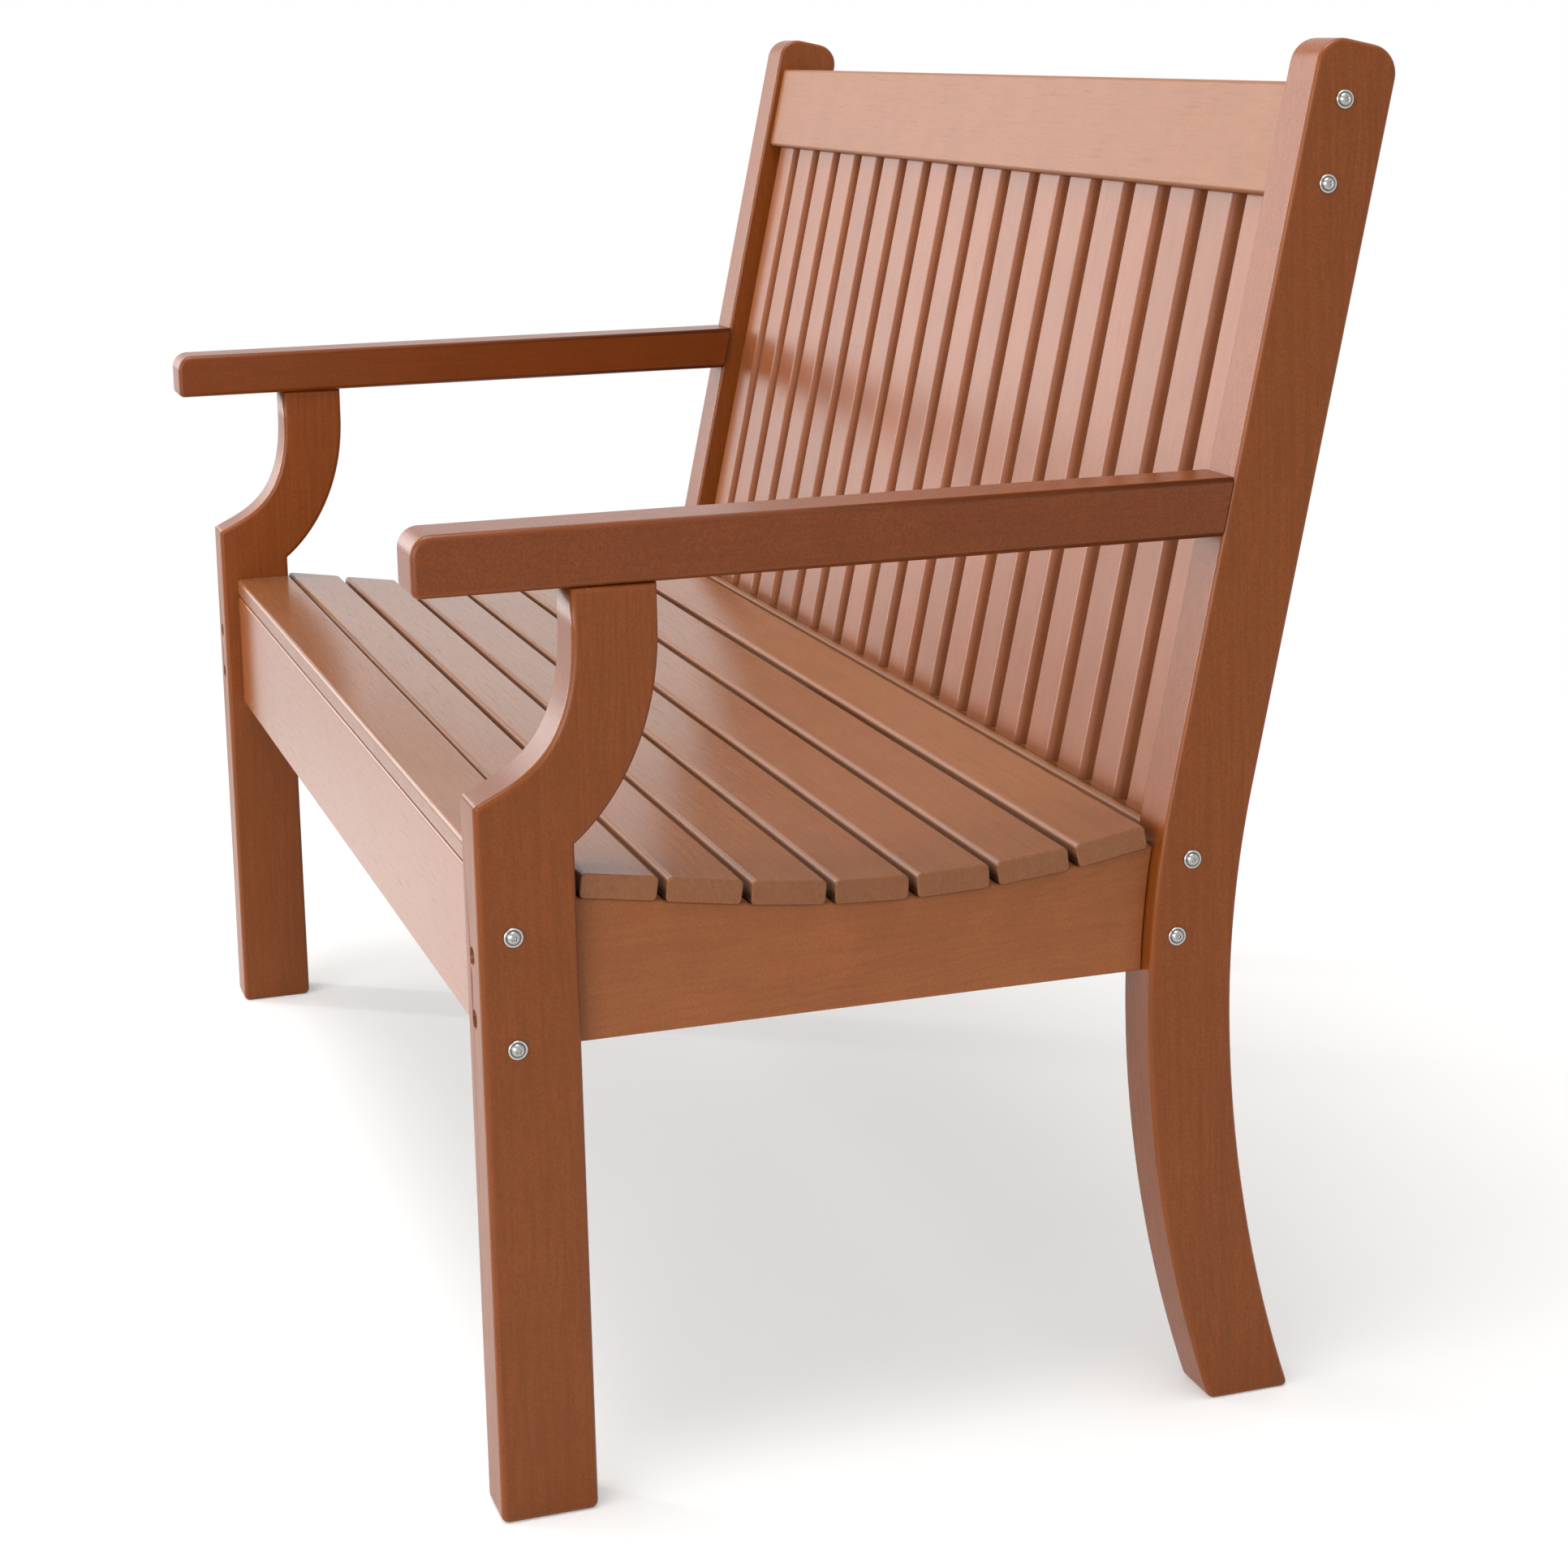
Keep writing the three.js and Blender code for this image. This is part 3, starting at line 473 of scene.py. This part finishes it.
seatPlanks = [node for node in sorted(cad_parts) if node.startswith("seat_plank_")]
backPlanks = [node for node in sorted(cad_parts) if node.startswith("back_plank_")]
for node in seatPlanks:
    piece = makePlank(node, "x", plankTimber, plank["edgeRadius"], plank["edgeSteps"])
    finishPiece(piece, node)
for node in backPlanks:
    piece = makePlank(node, "up", backTimber, plank["backEdgeRadius"], plank["edgeSteps"])
    finishPiece(piece, node)
print("planks ready")


backRail = {"edgeRadius": 3.5 * mm, "edgeSteps": 5, "mortiseGap": 0.35 * mm}
board = {"edgeRadius": 2.0 * mm, "edgeSteps": 4}


def mortiseCutter():
    # one pocket for each upright plank, a little larger than the plank
    cutter = bmesh.new()
    for node in backPlanks:
        plankCentre, plankAxes, plankSizes = measureNode(node, "up")
        tool = bmesh.new()
        bmesh.ops.create_cube(tool, size=1.0)
        grown = [size + 2 * backRail["mortiseGap"] for size in plankSizes]
        bmesh.ops.scale(tool, vec=grown, verts=tool.verts)
        placeIn(tool, plankCentre, *plankAxes)
        pocket = bpy.data.meshes.new("pocket")
        tool.to_mesh(pocket)
        tool.free()
        cutter.from_mesh(pocket)
        bpy.data.meshes.remove(pocket)
    return cutter


for node in ("back_top_rail", "back_bottom_rail"):
    rail = makePlank(node, "x", backRailTimber, backRail["edgeRadius"], backRail["edgeSteps"])
    cutAway(rail, mortiseCutter())
    finishPiece(rail, node)

frontRail = makePlank("front_rail", "x", railTimber, board["edgeRadius"], board["edgeSteps"])
finishPiece(frontRail, "front_rail")


def makeBoard(node, material):
    # a board on edge, extruded again from the flat side of its node
    bm = bmesh.new()
    bm.from_mesh(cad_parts[node].data)
    band = bm.verts.layers.float.new("edgeBand")
    bmesh.ops.remove_doubles(bm, verts=bm.verts, dist=0.01 * mm)
    low, high = (corner.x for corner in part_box(node))
    bm.normal_update()
    others = [face for face in bm.faces
              if face.normal.x < squareOn or face.calc_center_median().x < high - sameFace]
    bmesh.ops.delete(bm, geom=others, context="FACES")
    bmesh.ops.dissolve_faces(bm, faces=bm.faces)
    side = bmesh.ops.extrude_face_region(bm, geom=list(bm.faces))
    moved = [item for item in side["geom"] if isinstance(item, bmesh.types.BMVert)]
    bmesh.ops.translate(bm, vec=(low - high, 0, 0), verts=moved)
    bmesh.ops.recalc_face_normals(bm, faces=bm.faces)
    roundEdges(bm, sideEdges(bm), board["edgeRadius"], board["edgeSteps"], band)
    return makeObject(bm, node + "_look", material)


for node in ("side_rail_left", "side_rail_right", "seat_bearer"):
    finishPiece(makeBoard(node, sideTimber), node)

cleat = {"bottom": 345 * mm, "gap": 0.3 * mm, "frontGap": 12 * mm, "rearGap": 40 * mm}


def makeCleat(node):
    # a strip inside the side rail that takes the plank screws, cut from the rail's own outline
    low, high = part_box(node)
    piece = makeBoard(node, sideTimber)
    bm = bmesh.new()
    bm.from_mesh(piece.data)
    bpy.data.objects.remove(piece)
    inward = low.x - high.x - cleat["gap"] if low.x > 0 else high.x - low.x + cleat["gap"]
    bmesh.ops.translate(bm, vec=(inward, 0, 0), verts=bm.verts)
    front, rear = low.y + cleat["frontGap"], high.y - cleat["rearGap"]
    trims = (((0, 0, cleat["bottom"]), (0, 0, -1)), ((0, front, 0), (0, -1, 0)), ((0, rear, 0), (0, 1, 0)))
    for point, normal in trims:
        cut = bmesh.ops.bisect_plane(bm, geom=bm.verts[:] + bm.edges[:] + bm.faces[:], dist=0.001 * mm,
                                     plane_co=point, plane_no=normal, clear_outer=True)
        rim = [item for item in cut["geom_cut"] if isinstance(item, bmesh.types.BMEdge)]
        bmesh.ops.contextual_create(bm, geom=rim)
    return makeObject(bm, node.replace("rail", "cleat"), sideTimber)


for node in ("side_rail_left", "side_rail_right"):
    strip = makeCleat(node)
    for face in strip.data.polygons:
        face.use_smooth = False
    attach(strip, "root")
print("rails ready")


edge = {"radius": 4.0 * mm, "steps": 5}
# plain numbers are millimetres, from the front legs' face and from the floor
frontLeg = {
    "depth": 62, "shoulder": 459, "notch": 430.5, "neckSetback": 64.8, "neckDepth": 54.2, "neckStraight": 26,
    "neckRise": 158.2,
    "sweepLead": (25, 14), "sweepPull": 82, "scrollLead": (28, 22), "scrollPull": 65,
    "curveSteps": 28, "recessHeights": (321.7, 361.7), "recessRadius": 6.5 * mm, "recessDepth": 9 * mm,
}
rearLeg = {
    "depth": 59.3, "waist": (442, 268), "footKick": 42.2, "bendRadius": 700, "height": 910.6,
    "curveSteps": 16, "topRadius": 19 * mm, "topSteps": 10,
}
foot = {"radius": 5 * mm, "steps": 5}
frontCutterStart = 10 * mm    # how far outside the leg the cutter of a front recess starts
rearCutterReach = 50 * mm     # from the floor of a rear recess, well past the leg's rear edge


def sweepEdge(bm, stations):
    # an edge from front to rear, extruded from one pair of points to the next
    first = [bm.verts.new((0, *point)) for point in stations[0]]
    front = bm.edges.new(first)
    for pair in stations[1:]:
        made = bmesh.ops.extrude_edge_only(bm, edges=[front])["geom"]
        front = next(item for item in made if isinstance(item, bmesh.types.BMEdge))
        ends = sorted(front.verts, key=lambda vert: vert.co.y)
        for vert, point in zip(ends, pair):
            vert.co = (0, *point)


def thickenLeg(bm, low, high, corners):
    # gives the strip its thickness, then rounds the cross corners and the rims
    band = bm.verts.layers.float.new("edgeBand")
    bmesh.ops.translate(bm, vec=(low, 0, 0), verts=bm.verts)
    made = bmesh.ops.extrude_face_region(bm, geom=list(bm.faces))
    moved = [item for item in made["geom"] if isinstance(item, bmesh.types.BMVert)]
    bmesh.ops.translate(bm, vec=(high - low, 0, 0), verts=moved)
    bmesh.ops.recalc_face_normals(bm, faces=bm.faces)
    for point, radius, steps in corners:
        across = [e for e in bm.edges if all(
            math.hypot(v.co.y - point[0], v.co.z - point[1]) < sameCorner for v in e.verts)]
        roundEdges(bm, across, radius, steps)
    bm.normal_update()
    sides = set(sideFaces(bm))
    rims = [e for e in bm.edges if len([face for face in e.link_faces if face in sides]) == 1]
    roundEdges(bm, rims, edge["radius"], edge["steps"], band)


def toMetres(point, frontFace):
    return (frontFace + point[0] * mm, point[1] * mm)


def makeFrontLeg(node):
    low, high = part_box(node)
    frontFace = low.y
    size = frontLeg
    top = size["notch"] + size["neckRise"]
    neckFoot = top - size["neckStraight"]
    neckRear = size["neckSetback"] + size["neckDepth"]
    front = interpolate_bezier(
        Vector((0, size["shoulder"])),
        Vector((size["sweepLead"][0], size["shoulder"] + size["sweepLead"][1])),
        Vector((size["neckSetback"], neckFoot - size["sweepPull"])),
        Vector((size["neckSetback"], neckFoot)), size["curveSteps"])
    rear = interpolate_bezier(
        Vector((size["depth"], size["notch"])),
        Vector((size["depth"] + size["scrollLead"][0], size["notch"] + size["scrollLead"][1])),
        Vector((neckRear, neckFoot - size["scrollPull"])),
        Vector((neckRear, neckFoot)), size["curveSteps"])
    floorPair = ((0, 0), (size["depth"], 0))
    topPair = ((size["neckSetback"], top), (neckRear, top))
    stations = [floorPair, *zip(front, rear), topPair]
    stations = [[toMetres(point, frontFace) for point in pair] for pair in stations]
    bm = bmesh.new()
    sweepEdge(bm, stations)
    corners = [(point, foot["radius"], foot["steps"]) for point in stations[0]]
    thickenLeg(bm, low.x, high.x, corners)
    leg = makeObject(bm, node + "_look", legTimber)
    cutter = bmesh.new()
    middle = (low.x + high.x) / 2
    for height in size["recessHeights"]:
        addPost(cutter, (middle, frontFace - frontCutterStart, height * mm),
                (middle, frontFace + size["recessDepth"], height * mm), size["recessRadius"])
    cutAway(leg, cutter)
    return leg


def rearLegFront(height):
    # how far the front edge lies behind the front legs' face, both in millimetres
    size = rearLeg
    setback, waist = size["waist"]
    bendTop = waist + size["bendRadius"] * math.sin(rake)
    if height > bendTop:
        return rearLegFront(bendTop) + (height - bendTop) * math.tan(rake)
    footRadius = (size["footKick"] ** 2 + waist ** 2) / (2 * size["footKick"])
    radius = footRadius if height < waist else size["bendRadius"]
    return setback + radius - math.sqrt(radius ** 2 - (height - waist) ** 2)


def makeRearLeg(node):
    low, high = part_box(node)
    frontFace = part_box("front_leg_" + node.split("_")[-1])[0].y
    size = rearLeg
    waist = size["waist"][1]
    bend = size["bendRadius"] * math.sin(rake)
    heights = [waist * step / size["curveSteps"] for step in range(size["curveSteps"])]
    heights += [waist + bend * step / size["curveSteps"] for step in range(size["curveSteps"] + 1)]
    stations = [((rearLegFront(z), z), (rearLegFront(z) + size["depth"], z)) for z in heights]
    across = size["depth"] * math.cos(rake)
    topFront = Vector((rearLegFront(size["height"]), size["height"]))
    topRear = topFront + Vector((across * math.cos(rake), -across * math.sin(rake)))
    stations.append((topFront, topRear))
    stations = [[toMetres(point, frontFace) for point in pair] for pair in stations]
    bm = bmesh.new()
    sweepEdge(bm, stations)
    corners = [(point, foot["radius"], foot["steps"]) for point in stations[0]]
    corners += [(point, size["topRadius"], size["topSteps"]) for point in stations[-1]]
    thickenLeg(bm, low.x, high.x, corners)
    leg = makeObject(bm, node + "_look", legTimber)
    cutter = bmesh.new()
    middle = (low.x + high.x) / 2
    side = node.split("_")[-1]
    railBolts = [f"side_rail_rear_bolt_{side}_{level}" for level in ("lower", "upper")]
    for name in (*railBolts, f"arm_bolt_{side}"):
        boltLow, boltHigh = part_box(name)
        height = (boltLow.z + boltHigh.z) / 2
        floor = boltHigh.y - bolt["capHeight"] - bolt["seatGap"]
        addPost(cutter, (middle, floor, height), (middle, floor + rearCutterReach, height),
                frontLeg["recessRadius"])
    cutAway(leg, cutter)
    return leg


for side in ("left", "right"):
    finishPiece(makeFrontLeg(f"front_leg_{side}"), f"front_leg_{side}")
    finishPiece(makeRearLeg(f"rear_leg_{side}"), f"rear_leg_{side}")
print("legs ready")


arm = {"noseRadius": 13 * mm, "noseSteps": 8, "chinRadius": 5 * mm, "chinSteps": 5}


def makeArm(node):
    low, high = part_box(node)
    corners = [vert.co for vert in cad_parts[node].data.vertices]
    rearLow = max(co.y for co in corners if co.z < low.z + sameFace)
    bm = bmesh.new()
    band = bm.verts.layers.float.new("edgeBand")
    bmesh.ops.create_cube(bm, size=1.0)
    bmesh.ops.scale(bm, vec=high - low, verts=bm.verts)
    bmesh.ops.translate(bm, vec=(low + high) / 2, verts=bm.verts)
    for vert in bm.verts:
        if vert.co.y > high.y - mm and vert.co.z < low.z + mm:
            vert.co.y = rearLow
    across = [e for e in bm.edges if all(v.co.y < low.y + mm for v in e.verts)
              and abs(e.verts[0].co.x - e.verts[1].co.x) > (high.x - low.x) / 2]
    midHeight = (low.z + high.z) / 2
    top = [e for e in across if e.verts[0].co.z > midHeight]
    chin = [e for e in across if e.verts[0].co.z < midHeight]
    roundEdges(bm, top, arm["noseRadius"], arm["noseSteps"])
    roundEdges(bm, chin, arm["chinRadius"], arm["chinSteps"])
    bm.normal_update()
    sides = set(sideFaces(bm))
    rims = [e for e in bm.edges if len([face for face in e.link_faces if face in sides]) == 1
            and not all(v.co.y > rearLow - mm for v in e.verts)]
    roundEdges(bm, rims, edge["radius"], edge["steps"], band)
    return makeObject(bm, node + "_look", armTimber)


for side in ("left", "right"):
    finishPiece(makeArm(f"arm_{side}"), f"arm_{side}")
print("arms ready")


def makeBolt(node, recessed):
    # a head and shank spun about Z, then turned to lie where the node lies
    low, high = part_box(node)
    size = bolt
    length = size["longLength"] if recessed else size["crossLength"]
    bm = bmesh.new()
    # each step of the head: radius, height, how dark the painted shade makes it (on the dome a painted dark
    # reflection)
    if recessed:
        head = [(size["capRadius"], 0, 0.3), (size["capRadius"], size["capHeight"] - size["capChamfer"], 0.3),
                (size["capRadius"] - size["capChamfer"], size["capHeight"], 0.3), (0, size["capHeight"], 0.6)]
    else:
        rim, groove, dome = size["flangeRadius"], size["grooveRadius"], size["domeRadius"]
        head = [(rim, 0, 0.5), (rim, size["rimFlat"], 0.0), (rim - size["rimSlope"], size["rimHeight"], 0.0),
                (rim - size["rimWidth"], size["rimHeight"], 0.0), (groove, size["grooveHeight"], 0.7),
                (dome, size["grooveHeight"], 0.7)]
        for angle in range(15, 91, 15):
            turn = math.radians(angle)
            head.append((dome * math.cos(turn), size["grooveHeight"]
                         + (size["headHeight"] - size["grooveHeight"]) * math.sin(turn), 0.25))
    shank, tip = size["shankRadius"], size["shankTip"]
    profile = [(0, -length, 0.3), (shank - tip, -length, 0.3), (shank, tip - length, 0.3),
               (shank, 0, 0.3), *head]
    paintedBoltShade = bm.verts.layers.float.new("paintedBoltShade")
    verts = [bm.verts.new((radius, 0, height)) for radius, height, dark in profile]
    for vert, (radius, height, dark) in zip(verts, profile):
        vert[paintedBoltShade] = dark
    edges = [bm.edges.new(pair) for pair in zip(verts, verts[1:])]
    bmesh.ops.spin(bm, geom=verts + edges, cent=(0, 0, 0), axis=(0, 0, 1), angle=math.tau,
                   steps=size["steps"], use_merge=True)
    bmesh.ops.remove_doubles(bm, verts=bm.verts, dist=0.005 * mm)
    bmesh.ops.recalc_face_normals(bm, faces=bm.faces)
    piece = makeObject(bm, node + "_look", steel)
    cutter = bmesh.new()
    top = size["capHeight"] if recessed else size["headHeight"]
    addPost(cutter, (0, 0, top - size["socketDepth"]), (0, 0, top + size["socketDepth"]),
            size["socket"] / math.sqrt(3), 6)
    cutAway(piece, cutter)
    spans = high - low
    middle = (low + high) / 2
    if spans.x > spans.y:
        outward = Vector((1 if middle.x > 0 else -1, 0, 0))
        seat = Vector(((high.x if middle.x > 0 else low.x), middle.y, middle.z)) - outward * top
    else:
        outward = Vector((0, -1 if "front" in node else 1, 0))
        seat = Vector((middle.x, (low.y if "front" in node else high.y), middle.z)) - outward * top
    turn = outward.to_track_quat("Z", "Y").to_matrix().to_4x4()
    piece.data.transform(Matrix.Translation(seat) @ turn)
    return piece


for node in sorted(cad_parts):
    if "_bolt_" in node:
        recessed = node.startswith(("side_rail", "arm"))
        piece = finishPiece(makeBolt(node, recessed), node)
        for face in piece.data.polygons:
            face.use_smooth = face.area < bolt["flatFace"]
print("bolts ready")


studio = {
    "floorSize": 60.0, "floorColour": "#d3d2d0", "floorGlow": 0.3,
    "fadeStart": 0.85, "fadeEnd": 2.2,    # how far out the floor turns plain white to the eye
    "skyOnTimber": 0.62,
}


def seenDirectly(tree):
    # 1 for rays that show a background: straight from the camera, off gloss or through glass
    rays = addNode(tree, "ShaderNodeLightPath")
    mirrored = addNode(tree, "ShaderNodeMath",
                       {0: rays.outputs["Is Camera Ray"], 1: rays.outputs["Is Glossy Ray"]},
                       operation="MAXIMUM")
    return addNode(tree, "ShaderNodeMath", {0: mirrored.outputs[0], 1: rays.outputs["Is Transmission Ray"]},
                   operation="MAXIMUM").outputs[0]


def makeFloor():
    bm = bmesh.new()
    bmesh.ops.create_grid(bm, x_segments=1, y_segments=1, size=studio["floorSize"] / 2)
    mesh = bpy.data.meshes.new("studioFloor")
    bm.to_mesh(mesh)
    bm.free()
    floor = bpy.data.objects.new("studioFloor", mesh)
    bpy.context.collection.objects.link(floor)
    material, tree = emptyMaterial("paintedFloor")
    place = addNode(tree, "ShaderNodeTexCoord")
    reach = addNode(tree, "ShaderNodeVectorMath", {0: place.outputs["Object"]}, operation="LENGTH")
    far = addNode(tree, "ShaderNodeMapRange",
                  {"Value": reach.outputs["Value"],
                   "From Min": studio["fadeStart"], "From Max": studio["fadeEnd"]},
                  interpolation_type="SMOOTHSTEP")
    seen = seenDirectly(tree)
    farSeen = addNode(tree, "ShaderNodeMath", {0: far.outputs[0], 1: seen}, operation="MULTIPLY")
    glowing = addNode(tree, "ShaderNodeMath", {0: seen, 1: studio["floorGlow"]}, operation="MULTIPLY")
    paint = addNode(tree, "ShaderNodeBsdfDiffuse", {"Color": linearColour(studio["floorColour"])})
    glow = addNode(tree, "ShaderNodeEmission", {"Color": (1, 1, 1, 1), "Strength": glowing.outputs[0]})
    near = addNode(tree, "ShaderNodeAddShader", {0: paint.outputs[0], 1: glow.outputs[0]})
    white = addNode(tree, "ShaderNodeEmission", {"Color": (1, 1, 1, 1), "Strength": 1.0})
    shown = addNode(tree, "ShaderNodeMixShader",
                    {0: farSeen.outputs[0], 1: near.outputs[0], 2: white.outputs[0]})
    addNode(tree, "ShaderNodeOutputMaterial", {"Surface": shown.outputs[0]})
    mesh.materials.append(material)


def makeSky():
    world = bpy.data.worlds.new("studioSky")
    world.use_nodes = True
    tree = world.node_tree
    tree.nodes.clear()
    strength = addNode(tree, "ShaderNodeMapRange",
                       {"Value": seenDirectly(tree), "To Min": studio["skyOnTimber"], "To Max": 1.0})
    sky = addNode(tree, "ShaderNodeBackground", {"Color": (1, 1, 1, 1), "Strength": strength.outputs[0]})
    addNode(tree, "ShaderNodeOutputWorld", {"Surface": sky.outputs[0]})
    bpy.context.scene.world = world


def makeSoftbox(name, place, aim, width, height, power):
    lamp = bpy.data.lights.new(name, "AREA")
    lamp.shape = "RECTANGLE"
    lamp.size, lamp.size_y = width, height
    lamp.energy = power
    holder = bpy.data.objects.new(name, lamp)
    holder.location = place
    holder.rotation_euler = (Vector(aim) - Vector(place)).to_track_quat("-Z", "Y").to_euler()
    bpy.context.collection.objects.link(holder)


makeFloor()
makeSky()
makeSoftbox("windowSoftbox", (-3.2, -3.0, 1.75), (0, 0, 0.75), 5.0, 2.8, 120)
makeSoftbox("stripSoftbox", (-2.6, -3.1, 1.3), (0, 0, 0.75), 0.12, 2.4, 50)
makeSoftbox("overheadSoftbox", (0.6, -0.6, 4.0), (0, 0, 0.4), 2.6, 2.2, 115)
makeSoftbox("keySoftbox", (1.6, -3.4, 1.3), (0.3, 0, 0.4), 2.0, 1.6, 22)
makeSoftbox("fillSoftbox", (3.3, -2.8, 1.1), (0, 0, 0.4), 2.4, 2.0, 56)

camera = {"lens": 72.26, "shift": (-0.0854, -0.1687), "place": (2.4273, -0.6571, 0.9206),
          "turn": (81.055, 1.082, 70.269)}
lens = bpy.data.cameras.new("camera")
lens.lens = camera["lens"]
lens.sensor_width = 36
lens.shift_x, lens.shift_y = camera["shift"]
cameraObject = bpy.data.objects.new("camera", lens)
cameraObject.location = camera["place"]
cameraObject.rotation_euler = [math.radians(angle) for angle in camera["turn"]]
bpy.context.collection.objects.link(cameraObject)
bpy.context.scene.camera = cameraObject
bpy.context.scene.view_settings.view_transform = "Standard"
print("studio ready")
